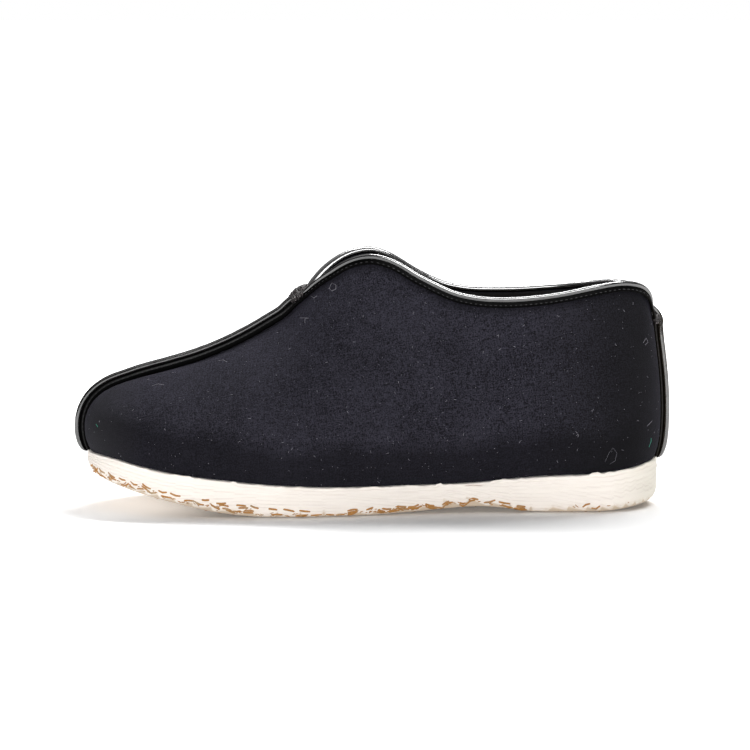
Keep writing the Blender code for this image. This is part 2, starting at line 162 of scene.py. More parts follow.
floor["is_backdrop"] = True


# The sole is a thick pad of white cotton cloth, cut out in many layers, pasted, sewn through and pared at the
# side, so that each layer shows there as a fine line and the top layer is a little ragged.
SOLE_HOLD = 1.2 * MM
LEVEL = 0.95
LAYERS = 9
LAYER_STEP = 0.10 * MM
LINE_DEPTH = 0.14 * MM
LINE_HALF_WIDTH = 0.12
DEEPEST_LINE = 1.8
BULGE = 0.18 * MM
RAGGED_EDGE = 1.7 * MM
RAGGED_FROM = 0.80
UNDERSIDE = 0.26 * MM
# A crack on the big-toe side, along the shoe in mm, at this share of the height.
CRACK = {"from": 41.0, "to": 49.5, "ends": 1.5, "share": 0.87, "half_width": 0.022, "depth": 0.9}
# The size, pitch and seed of each unevenness in how the layers lie.
LAYER_WAVES = ((0.10, 0.045, 1), (0.02, 0.020, 2))
PASTED_COTTON = (0.795, 0.735, 0.675), (0.860, 0.805, 0.748)
HEEL_END_COTTON = (0.66, 0.64, 0.52)
# This colour darkens the layer lines and the crack: partly the joints' own tone, partly painted shade in their
# grooves.
JOINT_AND_GROOVE_SHADE = (0.44, 0.35, 0.31)
DIRT = (0.47, 0.33, 0.18)


def take_up(piece):
    """Selects this piece alone and makes it the active one."""
    bpy.ops.object.select_all(action="DESELECT")
    piece.select_set(True)
    bpy.context.view_layer.objects.active = piece


def soft_copy(source, name):
    """A copy of a CAD node's mesh as a new piece, with its loose triangles joined into four-sided faces."""
    piece = bpy.data.objects.new(name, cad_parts[source].data.copy())
    piece.data.name = name
    piece.data.materials.clear()
    bpy.context.scene.collection.objects.link(piece)
    take_up(piece)
    bpy.ops.object.mode_set(mode="EDIT")
    bpy.ops.mesh.select_all(action="SELECT")
    bpy.ops.mesh.remove_doubles(threshold=1e-6)
    bpy.ops.mesh.tris_convert_to_quads(face_threshold=math.radians(60), shape_threshold=math.radians(120))
    bpy.ops.object.mode_set(mode="OBJECT")
    return piece


def subdivide(piece, levels):
    take_up(piece)
    soft = piece.modifiers.new("soft", "SUBSURF")
    soft.levels = soft.render_levels = levels
    bpy.ops.object.modifier_apply(modifier="soft")
    bpy.ops.object.shade_smooth()


def vectors_of(items, key):
    """One vector of each corner or face of a mesh, as rows."""
    flat = np.empty(len(items) * 3)
    items.foreach_get(key, flat)
    return flat.reshape(-1, 3)


def corners(piece):
    return vectors_of(piece.data.vertices, "co")


def corner_normals(piece):
    return vectors_of(piece.data.vertex_normals, "vector")


def set_corners(piece, points):
    piece.data.vertices.foreach_set("co", np.asarray(points, dtype=float).ravel())
    piece.data.update()


def add_attribute(piece, name, values):
    piece.data.attributes.new(name, "FLOAT", "POINT").data.foreach_set("value", np.asarray(values, np.float32))


class Finish:
    """A procedural material under construction: its node tree, its shader and short ways to add nodes."""

    def __init__(self, name, roughness):
        self.material = bpy.data.materials.new(name)
        self.material.use_nodes = True
        self.tree = self.material.node_tree
        self.shader = self.tree.nodes["Principled BSDF"]
        self.shader.inputs["Roughness"].default_value = roughness

    def link(self, value, socket):
        if isinstance(value, bpy.types.NodeSocket):
            self.tree.links.new(value, socket)
        else:
            socket.default_value = value

    def place(self, scale, uv=None):
        """Object coordinates, or a UV map's, times a scale for each axis."""
        source = self.tree.nodes.new("ShaderNodeUVMap" if uv else "ShaderNodeTexCoord")
        if uv:
            source.uv_map = uv
        sized = self.tree.nodes.new("ShaderNodeMapping")
        sized.inputs["Scale"].default_value = scale
        self.tree.links.new(source.outputs["UV" if uv else "Object"], sized.inputs["Vector"])
        return sized.outputs["Vector"]

    def noise(self, place, detail=2.0, rough=0.5):
        made = self.tree.nodes.new("ShaderNodeTexNoise")
        made.inputs["Scale"].default_value = 1.0
        made.inputs["Detail"].default_value = detail
        made.inputs["Roughness"].default_value = rough
        self.link(place, made.inputs["Vector"])
        return made.outputs["Fac"]

    def maths(self, operation, first, second=0.0):
        made = self.tree.nodes.new("ShaderNodeMath")
        made.operation = operation
        self.link(first, made.inputs[0])
        self.link(second, made.inputs[1])
        return made.outputs["Value"]

    def spread(self, value, low, high, to_low=0.0, to_high=1.0):
        """Stretches the part of a value from low to high over a new range."""
        return stretched(self.tree, value, (low, high, to_low, to_high))

    def blend(self, share, first, second):
        made = self.tree.nodes.new("ShaderNodeMix")
        made.data_type = "RGBA"
        self.link(share, made.inputs["Factor"])
        self.link(first if isinstance(first, bpy.types.NodeSocket) else (*first, 1.0), made.inputs["A"])
        self.link(second if isinstance(second, bpy.types.NodeSocket) else (*second, 1.0), made.inputs["B"])
        return made.outputs["Result"]

    def parts(self, place):
        made = self.tree.nodes.new("ShaderNodeSeparateXYZ")
        self.link(place, made.inputs[0])
        return made.outputs

    def attribute(self, name):
        made = self.tree.nodes.new("ShaderNodeAttribute")
        made.attribute_name = name
        return made.outputs["Fac"]

    def colour(self, value):
        self.link(value, self.shader.inputs["Base Color"])

    def relief(self, height, depth):
        """Bump of this depth, in metres, from a height between 0 and 1."""
        made = self.tree.nodes.new("ShaderNodeBump")
        made.inputs["Distance"].default_value = depth
        self.link(height, made.inputs["Height"])
        before = self.shader.inputs["Normal"]
        if before.is_linked:
            self.tree.links.new(before.links[0].from_socket, made.inputs["Normal"])
        self.tree.links.new(made.outputs["Normal"], before)


def drift(place, pitch, seed):
    """Smooth noise from -1 to 1 that changes over about this pitch, for one kind of unevenness."""
    return noise.noise(Vector((place[0] / pitch + seed * 17.3, place[1] / pitch - seed * 9.1, seed * 5.7)))


sole = soft_copy("sole", "cloth_sole")
sole_points, sole_normals = corners(sole), corner_normals(sole)
sole_tops, sole_undersides = (
    rows[np.argsort(rows[:, 0])]
    for rows in (sole_points[sole_normals[:, 2] > 0.4], sole_points[sole_normals[:, 2] < -0.4])
)
take_up(sole)
bpy.ops.object.mode_set(mode="EDIT")
bpy.ops.mesh.select_mode(type="FACE")
edit = bmesh.from_edit_mesh(sole.data)
for face in edit.faces:
    face.select = abs(face.normal.z) > LEVEL
bmesh.update_edit_mesh(sole.data)
bpy.ops.mesh.inset(thickness=SOLE_HOLD, depth=0)
bpy.ops.object.mode_set(mode="OBJECT")
subdivide(sole, 3)

sole_points, sole_normals = corners(sole), corner_normals(sole)
tops = np.interp(sole_points[:, 0], sole_tops[:, 0], sole_tops[:, 2])
undersides = np.interp(sole_points[:, 0], sole_undersides[:, 0], sole_undersides[:, 2])
shares = np.clip((sole_points[:, 2] - undersides) / (tops - undersides), 0, 1)
on_side = np.clip((0.85 - np.abs(sole_normals[:, 2])) / 0.3, 0, 1)
lines = np.zeros(len(sole_points))
for k, (place, share, side_share) in enumerate(zip(sole_points, shares, on_side)):
    layer_place = sum((size * drift(place, pitch, seed) for size, pitch, seed in LAYER_WAVES), share * LAYERS)
    layer = math.floor(layer_place)
    near_line = abs(layer_place - round(layer_place)) / LINE_HALF_WIDTH
    broken = max(0.0, min(1.0, 0.55 + 1.6 * drift(place, 0.016, 10 + round(layer_place))))
    line = math.exp(-near_line * near_line) * broken
    into_crack = min(place[0] / MM - CRACK["from"], CRACK["to"] - place[0] / MM) / CRACK["ends"]
    if into_crack > 0 and place[1] < 0:
        beside = (share - CRACK["share"] - 0.01 * math.sin(place[0] / MM)) / CRACK["half_width"]
        line += min(1.0, into_crack) * CRACK["depth"] / (LINE_DEPTH / MM) * math.exp(-beside * beside)
    lines[k] = min(line, DEEPEST_LINE) * side_share
    step = LAYER_STEP * drift(place, 0.022, 30 + layer) + BULGE * drift(place, 0.035, 3)
    shift = side_share * (step - LINE_DEPTH * line)
    sole_points[k] += sole_normals[k] * (1, 1, 0) * shift
    frayed = max(0.0, (share - RAGGED_FROM) / (1 - RAGGED_FROM)) * max(side_share, 0.4)
    ragged = drift(place, 0.007, 4) + 0.8 * drift(place, 0.0030, 5)
    sole_points[k][2] += RAGGED_EDGE * frayed * min(1.0, max(0.0, ragged + 0.10))
    if sole_normals[k][2] < -0.3:
        sole_points[k][2] = max(sole_points[k][2], UNDERSIDE)
set_corners(sole, sole_points)
add_attribute(sole, "layer_line", lines)
add_attribute(sole, "height_share", shares)

white_cotton = Finish("sole_cotton", 0.9)
patches = white_cotton.noise(white_cotton.place((55, 55, 140)), 3.0)
cut_yarns = white_cotton.noise(white_cotton.place((420, 420, 2600)), 3.0, 0.6)
clean = white_cotton.blend(patches, *PASTED_COTTON)
heel_end = white_cotton.spread(white_cotton.parts(white_cotton.place((1, 1, 1)))["X"], 0.106, 0.134, 0.0, 0.55)
clean = white_cotton.blend(heel_end, clean, HEEL_END_COTTON)
# The layer lines and the crack are painted darker: partly the tone of the joints, partly painted shade in their
# grooves.
joint_and_shade_share = white_cotton.maths("MULTIPLY", white_cotton.attribute("layer_line"), 0.27)
shaded = white_cotton.blend(joint_and_shade_share, clean, JOINT_AND_GROOVE_SHADE)
low = white_cotton.spread(white_cotton.attribute("height_share"), 0.20, 0.0)
soiled = white_cotton.noise(white_cotton.place((260, 260, 420)), 4.0, 0.65)
dirt = white_cotton.maths("MULTIPLY", low, white_cotton.spread(soiled, 0.44, 0.70, 0.0, 0.6))
edge_dirt = white_cotton.spread(white_cotton.attribute("height_share"), 0.09, 0.02)
dirt = white_cotton.maths("MAXIMUM", dirt, white_cotton.maths("MULTIPLY", edge_dirt, 0.60))
white_cotton.colour(white_cotton.blend(dirt, shaded, DIRT))
white_cotton.relief(cut_yarns, 0.12 * MM)
white_cotton.shader.inputs["Sheen Weight"].default_value = 0.15
white_cotton.shader.inputs["Specular IOR Level"].default_value = 0.2
sole.data.materials.append(white_cotton.material)
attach(sole, "root")
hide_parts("sole")


# The edge of each panel is bound in glossy black leather: a rolled bead with a flat, stitched margin below it.
# Up the front and down the heel, the two bound edges are sewn together and stand up as a double ridge.
STOP_SPACING = 1.3 * MM
CAP_ANGLE = math.radians(25)
FOOT_ANGLE = math.radians(55)
SIDES = {"medial": -1, "lateral": 1}
# margin: its thickness. lift: of its foot over the CAD strip's. top: the bead's, over that strip's foot. bead_out:
# from the margin's inner face to the bead's middle. bead_wide and bead_high: half the bead's size. All in mm.
RIDGE = {"margin": 1.25, "lift": -1.3, "top": 4.8, "bead_out": 1.12, "bead_wide": 1.12, "bead_high": 1.3}
ROLLED_EDGE = {"margin": 0.9, "lift": 1.5, "top": 6.6, "bead_out": -0.7, "bead_wide": 2.0, "bead_high": 1.4}
HEEL_RIDGE = {"margin": 1.25, "lift": -1.3, "top": 4.2, "bead_out": 1.12, "bead_wide": 1.12, "bead_high": 1.3}
RIDGE_END = 3.2 * MM
TAPER = 9.0 * MM
LOWEST = 0.35
WHOLE_LINE = 0.7
COMPARED_STOPS = 9
# How many stops to each side the sizes are eased over, and the directions round the bead, in degrees.
EASE = 7
BEAD_ANGLES = (-48, -20, 10, 35, 60, 85, 110, 135, 160, 185, 210)
# The corners of a cross-section on the bead, and where the margin folds under it.
BEAD_CORNERS = range(7, 18)
FOLD_CORNERS = range(4, 6)
LUMPS = 0.07 * MM
LUMP_PITCH = 4.5 * MM
# The leather's dark and pale tones, and its brown at the heel.
LEATHER_COLOURS = (0.005, 0.005, 0.0055), (0.010, 0.0095, 0.0095), (0.030, 0.022, 0.013)


def foot_lines(source, side, first):
    """The two edges of a CAD strip's foot, the inner and the outer one, from the end that comes first."""
    shape = bmesh.new()
    shape.from_mesh(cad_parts[source].data)
    bmesh.ops.remove_doubles(shape, verts=shape.verts, dist=1e-6)
    flats, left = [], set(shape.faces)
    while left:
        flat = [left.pop()]
        for face in flat:
            for other in {other for edge in face.edges for other in edge.link_faces} & left:
                if face.normal.angle(other.normal) < CAP_ANGLE:
                    flat.append(other)
                    left.discard(other)
        flats.append(flat)
    caps = {face for flat in sorted(flats, key=len)[:2] for face in flat}
    sharp = {
        edge
        for edge in shape.edges
        if edge.is_convex and edge.calc_face_angle() > FOOT_ANGLE and not caps & set(edge.link_faces)
    }
    lines = []
    while sharp:
        line = list(sharp.pop().verts)
        for end in (-1, 0):
            while True:
                step = next((edge for edge in line[end].link_edges if edge in sharp), None)
                if step is None:
                    break
                sharp.discard(step)
                line.insert(len(line) if end else 0, step.other_vert(line[end]))
        points = np.array([corner.co for corner in line])
        lines.append(points if first(points[0]) < first(points[-1]) else points[::-1])
    shape.free()
    whole = [line for line in lines if len(line) > WHOLE_LINE * max(map(len, lines))]
    pairs = [(one, other) for n, one in enumerate(whole) for other in whole[n + 1 :]]
    feet = min(
        pairs,
        key=lambda pair: np.abs(even_stops(pair[0], COMPARED_STOPS) - even_stops(pair[1], COMPARED_STOPS)).sum(),
    )
    return sorted(feet, key=lambda points: side * points[:, 1].mean())


def unit(vectors):
    return vectors / np.linalg.norm(vectors, axis=-1, keepdims=True)


def length_along(points):
    return np.concatenate([[0.0], np.cumsum(np.linalg.norm(np.diff(points, axis=0), axis=1))])


def at_length(table, run, lengths):
    return np.stack([np.interp(lengths, run, table[:, axis]) for axis in range(3)], axis=1)


def even_stops(points, count):
    """A number of points at even spacing along a line of straight pieces."""
    run = length_along(points)
    return at_length(points, run, np.linspace(0, run[-1], count))


def smooth_path(points, values, spacing):
    """Stops at an even spacing on a smooth curve through the points, and the values there."""
    run = length_along(points)
    table = np.concatenate([points, values], axis=1)
    slopes = np.gradient(table, run, axis=0)
    rows = []
    for length in np.linspace(0, run[-1], round(run[-1] / spacing) + 1):
        k = int(np.clip(np.searchsorted(run, length, side="right") - 1, 0, len(run) - 2))
        step = run[k + 1] - run[k]
        share = (length - run[k]) / step
        ease = share * share * (3 - 2 * share)
        pull = share * (1 - share) ** 2 * slopes[k] - share * share * (1 - share) * slopes[k + 1]
        rows.append(table[k] + ease * (table[k + 1] - table[k]) + step * pull)
    rows = np.array(rows)
    return rows[:, :3], rows[:, 3:]


def binding_path(name, side):
    """Stops along a panel's bound edge, from the toe over the collar and down the heel: the margin's foot, the
    directions out and up from it, and the sizes of the cross-section there."""
    feet, values = [], []
    for run, profile, first in (
        ("front_piping", RIDGE, lambda place: place[0]),
        ("collar_binding", ROLLED_EDGE, lambda place: place[0]),
        ("heel_piping", HEEL_RIDGE, lambda place: -place[2]),
    ):
        inner, outer = foot_lines(f"{run}_{name}", side, first)
        count = max(len(inner), len(outer))
        inner, outer = even_stops(inner, count), even_stops(outer, count)
        feet.append(inner)
        across = unit(outer - inner)
        values.append(np.concatenate([across, np.tile(list(profile.values()), (count, 1))], axis=1))
    feet, values = np.concatenate(feet), np.concatenate(values)
    feet[0] += RIDGE_END * unit(feet[0] - feet[1])
    feet[-1] += RIDGE_END * unit(feet[-1] - feet[-2])
    foot, values = smooth_path(feet, values, STOP_SPACING)
    ends = np.pad(values[:, 3:], ((EASE, EASE), (0, 0)), mode="edge")
    values[:, 3:] = [ends[stop : stop + 2 * EASE + 1].mean(0) for stop in range(len(foot))]
    along = unit(np.gradient(foot, axis=0))
    out = unit(values[:, :3] - along * (values[:, :3] * along).sum(1, keepdims=True))
    sizes = dict(zip(RIDGE, values[:, 3:].T * MM))
    run = length_along(foot)
    share = np.clip(np.minimum(run, run[-1] - run) / TAPER, 0, 1)
    for key in ("top", "bead_wide", "bead_high"):
        sizes[key] *= LOWEST + (1 - LOWEST) * np.sqrt(share * (2 - share))
    return foot, out, side * np.cross(along, out), sizes


def binding_ring(sizes, stop):
    """The cross-section of the bound edge at a stop, as distances out and up from the margin's foot."""
    margin, lift, top, bead_out, wide, high = (sizes[key][stop] for key in RIDGE)
    middle = top - high
    groove = middle - high
    waist = 0.5 * (max(lift, 0.0) + groove)
    ring = [(0.0, lift + 0.15 * MM), (0.25 * margin, lift), (0.8 * margin, lift), (margin, lift + 0.25 * MM)]
    ring += [(1.30 * margin, waist), (0.98 * margin, waist + 0.5 * MM), (0.5 * margin, groove)]
    for degrees in BEAD_ANGLES:
        angle = math.radians(degrees)
        ring.append((bead_out + wide * math.cos(angle), middle + high * math.sin(angle)))
    return [*ring, (0.1 * MM, groove), (0.12 * MM, waist)]


def lofted(name, rings):
    """A closed mesh through rows of cross-sections."""
    stops, count = rings.shape[:2]
    faces = []
    for stop in range(stops - 1):
        for k in range(count):
            here, there = stop * count + k, stop * count + (k + 1) % count
            faces.append((here, there, there + count, here + count))
    faces += [list(range(count))[::-1], [(stops - 1) * count + k for k in range(count)]]
    mesh = bpy.data.meshes.new(name)
    mesh.from_pydata(rings.reshape(-1, 3).tolist(), [], faces)
    piece = bpy.data.objects.new(name, mesh)
    bpy.context.scene.collection.objects.link(piece)
    take_up(piece)
    bpy.ops.object.mode_set(mode="EDIT")
    bpy.ops.mesh.select_all(action="SELECT")
    bpy.ops.mesh.normals_make_consistent(inside=False)
    bpy.ops.object.mode_set(mode="OBJECT")
    return piece


def leather_finish(name, roughness, ior, depth):
    """Black leather with soft wrinkles, a little brown where it wraps the corner of the heel."""
    leather = Finish(name, roughness)
    tone = leather.noise(leather.place((90, 90, 90)), 3.0)
    brown_end = leather.spread(leather.parts(leather.place((1, 1, 1)))["X"], 0.118, 0.133, 0.0, 0.7)
    dark, pale, brown = (np.multiply(depth, colour) for colour in LEATHER_COLOURS)
    leather.colour(leather.blend(brown_end, leather.blend(tone, dark, pale), brown))
    wrinkles = leather.noise(leather.place((260, 260, 260)), 3.0, 0.6)
    dulled = leather.spread(wrinkles, 0.3, 0.7, roughness - 0.05, roughness + 0.06)
    leather.link(dulled, leather.shader.inputs["Roughness"])
    leather.relief(wrinkles, 0.05 * MM)
    leather.shader.inputs["IOR"].default_value = ior
    return leather.material


glossy_leather = leather_finish("black_leather", 0.19, 2.2, 0.8)
# The margin's and the fold's copies of this leather are painted darker than the bead's (0.16 and 0.4 of its
# colours, against 0.8): painted shade for the shadowed gap under the margin and the groove under the bead.
matte_shaded_leather = leather_finish("margin_leather", 0.5, 1.1, 0.16)
fold_leather = leather_finish("fold_leather", 0.5, 1.35, 0.4)
edges = {}
for name, side in SIDES.items():
    foot, out, up, sizes = edges[name] = binding_path(name, side)
    rings = []
    for stop in range(len(foot)):
        ring = np.array(binding_ring(sizes, stop))
        rings.append(foot[stop] + ring[:, :1] * out[stop] + ring[:, 1:] * up[stop])
    binding = lofted(f"leather_binding_{name}", np.array(rings))
    for leather in (glossy_leather, matte_shaded_leather, fold_leather):
        binding.data.materials.append(leather)
    for face in binding.data.polygons:
        parts = {corner % len(rings[0]) for corner in face.vertices}
        on_ridge = sizes["lift"][min(face.vertices) // len(rings[0])] < 0
        fold = on_ridge and parts <= set(FOLD_CORNERS)
        face.material_index = 0 if parts <= set(BEAD_CORNERS) else 2 if fold else 1
    subdivide(binding, 1)
    points, normals = corners(binding), corner_normals(binding)
    lumps = [drift(place + (0, 0, place[2]), LUMP_PITCH, 50 + side) for place in points]
    set_corners(binding, points + normals * LUMPS * np.array(lumps)[:, None])
    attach(binding, "root")
    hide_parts(f"front_piping_{name}", f"collar_binding_{name}", f"heel_piping_{name}")


# The upper is two panels of dense black cotton cloth over padding, cut flat and sewn together up the front and
# down the heel. The cloth is pulled down over the padding and sewn to the sole. It is lined with dark flannel.
SEAM_DEPTH = 0.4 * MM
SEAM_REACH = 0.9 * MM
SEAM_GAP = 2.5 * MM
SEAM_STOPS = 600
# How far the seam runs on past both ends of the ridges, in mm, so that its lowest edges are found too.
SEAM_RUNS_ON = (0.8, 1.6, 2.4, 3.2, 4.0)
SHARP = math.radians(35)
WEAVE_PITCH = 0.46 * MM
PUFF = 0.7 * MM
PUFF_REACH = 4.0 * MM
DIP = 0.8 * MM
DIP_REACH = 2.0 * MM
SHADE_REACH = 3.2 * MM
BINDING_HOLD = 1.0 * MM
HEM_HOLD = 5.0 * MM
DARK_HEM = 26.0 * MM
BLEND_ACROSS = 6.0 * MM
RUMPLE = 0.16 * MM
SPINE_ENDS = 0.100
SPINE_HEIGHT = 0.028
DYED_COTTON = (0.0042, 0.0040, 0.0056), (0.0315, 0.0302, 0.0415)
# A dark band over the hem is painted shade, for the cloth turning under towards the sole; this is its colour.
HEM_PAINTED_SHADE = (0.0058, 0.0056, 0.0076)
FUZZ = (0.105, 0.10, 0.125)
TOE_COTTON = (0.0150, 0.0150, 0.0157)
HEEL_COTTON = (0.0042, 0.0042, 0.0042)
# The cloth next to the bindings is painted darker with this colour, as painted shade where it dips into the seam.
SEAM_PAINTED_SHADE = (0.0028, 0.0027, 0.0034)
FLANNEL_COLOURS = (0.010, 0.010, 0.011), (0.030, 0.029, 0.031)
# Each soft trough or ridge: its middle along the shoe and up it, its half length and half width, its slope in
# degrees and its height. All but the slope are in mm.
CREASES = {
    "medial": [
        (-4, 101, 22, 2.8, -2, -0.75), (-6, 107, 18, 2.6, -4, 0.45), (58, 87, 36, 2.8, -5, 0.40),
        (-40, 34, 66, 6.0, -3, 0.75), (-30, 20, 84, 5.0, -3, -0.60), (72, 33, 45, 6.0, 2, 0.60),
        (74, 19, 50, 5.0, 2, -0.40), (88, 60, 24, 4.0, 66, -0.35), (-92, 42, 22, 4.0, 24, -0.30),
        (14, 68, 46, 8.0, 12, 0.35), (-62, 58, 30, 4.0, 38, -0.30), (20, 83, 24, 3.0, -30, 0.35),
    ],
    "lateral": [
        (-6, 100, 22, 2.8, -3, -0.70), (-4, 106, 18, 2.8, -6, 0.40), (54, 86, 34, 3.0, -6, 0.40),
        (-36, 33, 62, 6.0, -2, 0.65), (-22, 19, 80, 5.0, -2, -0.50), (78, 56, 24, 4.5, 70, -0.40),
        (-88, 40, 24, 4.0, 20, -0.35), (20, 64, 42, 8.0, 8, 0.30), (70, 30, 44, 6.0, 2, 0.50),
    ],
}


def cloth_islands(shape):
    """The faces of each panel that seams cut off from the others."""
    left = set(shape.faces)
    while left:
        panel = [left.pop()]
        for face in panel:
            for edge in face.edges:
                if not edge.seam:
                    fresh = set(edge.link_faces) & left
                    panel += fresh
                    left -= fresh
        yield panel


def lay_flat(piece, map_name):
    """Unwraps a piece as its cloth was cut, with one UV unit to a metre and U along the shoe."""
    take_up(piece)
    piece.data.uv_layers.new(name=map_name)
    bpy.ops.object.mode_set(mode="EDIT")
    bpy.ops.mesh.select_all(action="SELECT")
    bpy.ops.uv.unwrap(method="ANGLE_BASED", margin=0.01)
    bpy.ops.object.mode_set(mode="OBJECT")
    shape = bmesh.new()
    shape.from_mesh(piece.data)
    layer = shape.loops.layers.uv[map_name]
    for number, panel in enumerate(cloth_islands(shape)):
        loops = [loop for face in panel for loop in face.loops]
        flat = np.array([loop[layer].uv for loop in loops])
        solid = np.array([loop.vert.co for loop in loops])
        edge_flat = np.array([loop.link_loop_next[layer].uv for loop in loops]) - flat
        edge_solid = np.array([loop.link_loop_next.vert.co for loop in loops]) - solid
        scale = np.linalg.norm(edge_solid, axis=1).sum() / max(np.linalg.norm(edge_flat, axis=1).sum(), 1e-9)
        flat = (flat - flat.mean(0)) * scale
        slope = np.linalg.lstsq(flat, solid[:, 0] - solid[:, 0].mean(), rcond=None)[0]
        turn = math.atan2(slope[1], slope[0])
        cos, sin = math.cos(turn), math.sin(turn)
        for loop, (u, v) in zip(loops, flat):
            loop[layer].uv = (u * cos + v * sin + number, v * cos - u * sin)
    shape.to_mesh(piece.data)
    shape.free()


def from_spine(points):
    """Vectors to these points from the nearest place on a line along the middle of the shoe."""
    spine = np.zeros_like(points)
    spine[:, 0] = np.clip(points[:, 0], -SPINE_ENDS, SPINE_ENDS)
    spine[:, 2] = SPINE_HEIGHT
    return points - spine


def nearest_gap(points, line):
    """How far each point is from the nearest of the points of a line."""
    return np.array([np.sqrt(((line - place) ** 2).sum(1).min()) for place in points])


upper = soft_copy("upper", "cloth_upper")
halves = [even_stops(edges[name][0] - SEAM_DEPTH * edges[name][2], SEAM_STOPS) for name in SIDES]
joined = np.linalg.norm(halves[0] - halves[1], axis=1) < SEAM_GAP
seam_line = (halves[0] + halves[1])[joined] / 2
low_ends = [
    seam_line[end] + unit(seam_line[end] - seam_line[near]) * drop * MM
    for end, near in ((0, 4), (-1, -5))
    for drop in SEAM_RUNS_ON
]
seam_line = np.concatenate([seam_line, low_ends])
shape = bmesh.new()
shape.from_mesh(upper.data)
crease = shape.edges.layers.float.new("crease_edge")
on_seam = {corner for corner in shape.verts if nearest_gap([corner.co], seam_line)[0] < SEAM_REACH}
for edge in shape.edges:
    sharp = edge.is_manifold and edge.calc_face_angle() > SHARP
    if sharp or set(edge.verts) <= on_seam:
        edge[crease] = 1.0
        edge.seam = True
shape.to_mesh(upper.data)
shape.free()
lay_flat(upper, "cut_cloth")
subdivide(upper, 2)

points, normals = corners(upper), corner_normals(upper)
outside = np.where((from_spine(points) * normals).sum(1) > 0, 1.0, -1.0)
outward = normals * outside[:, None]
margin_edges = [
    foot + out * sizes["margin"][:, None] + up * sizes["lift"][:, None] for foot, out, up, sizes in edges.values()
]
gap = nearest_gap(points, np.concatenate(margin_edges))
hem = np.interp(points[:, 0], sole_tops[:, 0], sole_tops[:, 2])
off_hem = np.clip((points[:, 2] - hem) / HEM_HOLD, 0, 1)
puffed = np.clip((gap - BINDING_HOLD) / PUFF_REACH, 0, None)
free = np.minimum(puffed, 1) * off_hem
lift = PUFF * puffed * np.exp(1 - puffed) * off_hem
lift -= DIP * np.exp(-((gap / DIP_REACH) ** 2))
for name, side in SIDES.items():
    this_side = np.clip(0.5 + side * points[:, 1] / BLEND_ACROSS, 0, 1)
    for middle, rise, half_length, half_width, slope, crown in CREASES[name]:
        cos, sin = math.cos(math.radians(slope)), math.sin(math.radians(slope))
        dx, dz = points[:, 0] - middle * MM, points[:, 2] - rise * MM
        dz = dz + 0.6 * MM * np.sin(dx / (9 * MM) + crown * 20)
        across, along = (dz * cos - dx * sin) / (half_width * MM), (dx * cos + dz * sin) / (half_length * MM)
        lift += this_side * free * crown * MM * np.exp(-across**2 - along**2)
rumple = np.array([drift(place + (0, 0, place[2]), 0.021, 60) for place in points])
rumple += 0.5 * np.array([drift(place - (0, 0, place[2]), 0.0085, 61) for place in points])
lift += RUMPLE * rumple * free
set_corners(upper, points + outward * lift[:, None])
add_attribute(upper, "over_hem", (points[:, 2] - hem) / DARK_HEM)
add_attribute(upper, "by_seam", np.clip(1 - gap / SHADE_REACH, 0, 1))

cloth = Finish("black_cotton", 0.92)
weave_rate = math.tau / WEAVE_PITCH
warp_weft = cloth.parts(cloth.place((weave_rate, weave_rate, 1), "cut_cloth"))
crossing = cloth.maths("MULTIPLY", cloth.maths("SINE", warp_weft["X"]), cloth.maths("SINE", warp_weft["Y"]))
over_under = cloth.spread(crossing, -1.0, 1.0)
slubs = cloth.maths(
    "ADD",
    cloth.noise(cloth.place((160, 2300, 1), "cut_cloth"), 2.0),
    cloth.noise(cloth.place((2300, 160, 1), "cut_cloth"), 2.0),
)
nap = cloth.noise(cloth.place((1750, 1750, 1750)), 1.5, 0.5)
worn = cloth.noise(cloth.place((38, 38, 38)), 3.0)
shade = cloth.maths("ADD", nap, cloth.maths("MULTIPLY", slubs, 0.35))
shade = cloth.maths("ADD", shade, cloth.maths("MULTIPLY", worn, 0.22))
cloth_tone = cloth.blend(cloth.spread(shade, 0.80, 1.12), *DYED_COTTON)
# Painted shade: the cloth is darkened over the lowest few centimetres above the sole, with a ragged upper edge,
# for the shade where it turns under towards the sole.
hem_shade_height = cloth.maths("ADD", cloth.attribute("over_hem"), cloth.maths("MULTIPLY", worn, 0.5))
cloth_tone = cloth.blend(cloth.spread(hem_shade_height, 1.12, 0.78, 0.0, 0.72), cloth_tone, HEM_PAINTED_SHADE)
fibres = cloth.spread(cloth.noise(cloth.place((1500, 1500, 1500)), 4.0, 0.75), 0.66, 0.76)
fuzzy = cloth.blend(cloth.maths("MULTIPLY", fibres, 0.7), cloth_tone, FUZZ)
along_shoe = cloth.parts(cloth.place((1, 1, 1)))["X"]
toe_end = cloth.spread(along_shoe, -0.102, -0.124, 0.0, 0.8)
heel_end = cloth.spread(along_shoe, 0.066, 0.122, 0.0, 0.92)
even = cloth.blend(heel_end, cloth.blend(toe_end, fuzzy, TOE_COTTON), HEEL_COTTON)
# Painted shade: the cloth is darkened next to each binding's margin, fading out over SHADE_REACH, for the shadow
# where it dips into the seam.
seam_shade_share = cloth.spread(cloth.attribute("by_seam"), 0.0, 0.75, 0.0, 0.85)
cloth.colour(cloth.blend(seam_shade_share, even, SEAM_PAINTED_SHADE))
cloth.relief(over_under, 0.07 * MM)
cloth.relief(slubs, 0.06 * MM)
cloth.relief(nap, 0.14 * MM)
cloth.shader.inputs["Specular IOR Level"].default_value = 0.06
cloth.shader.inputs["Sheen Weight"].default_value = 0.04
cloth.shader.inputs["Sheen Roughness"].default_value = 0.5
cloth.shader.inputs["Sheen Tint"].default_value = (0.75, 0.72, 1.0, 1.0)

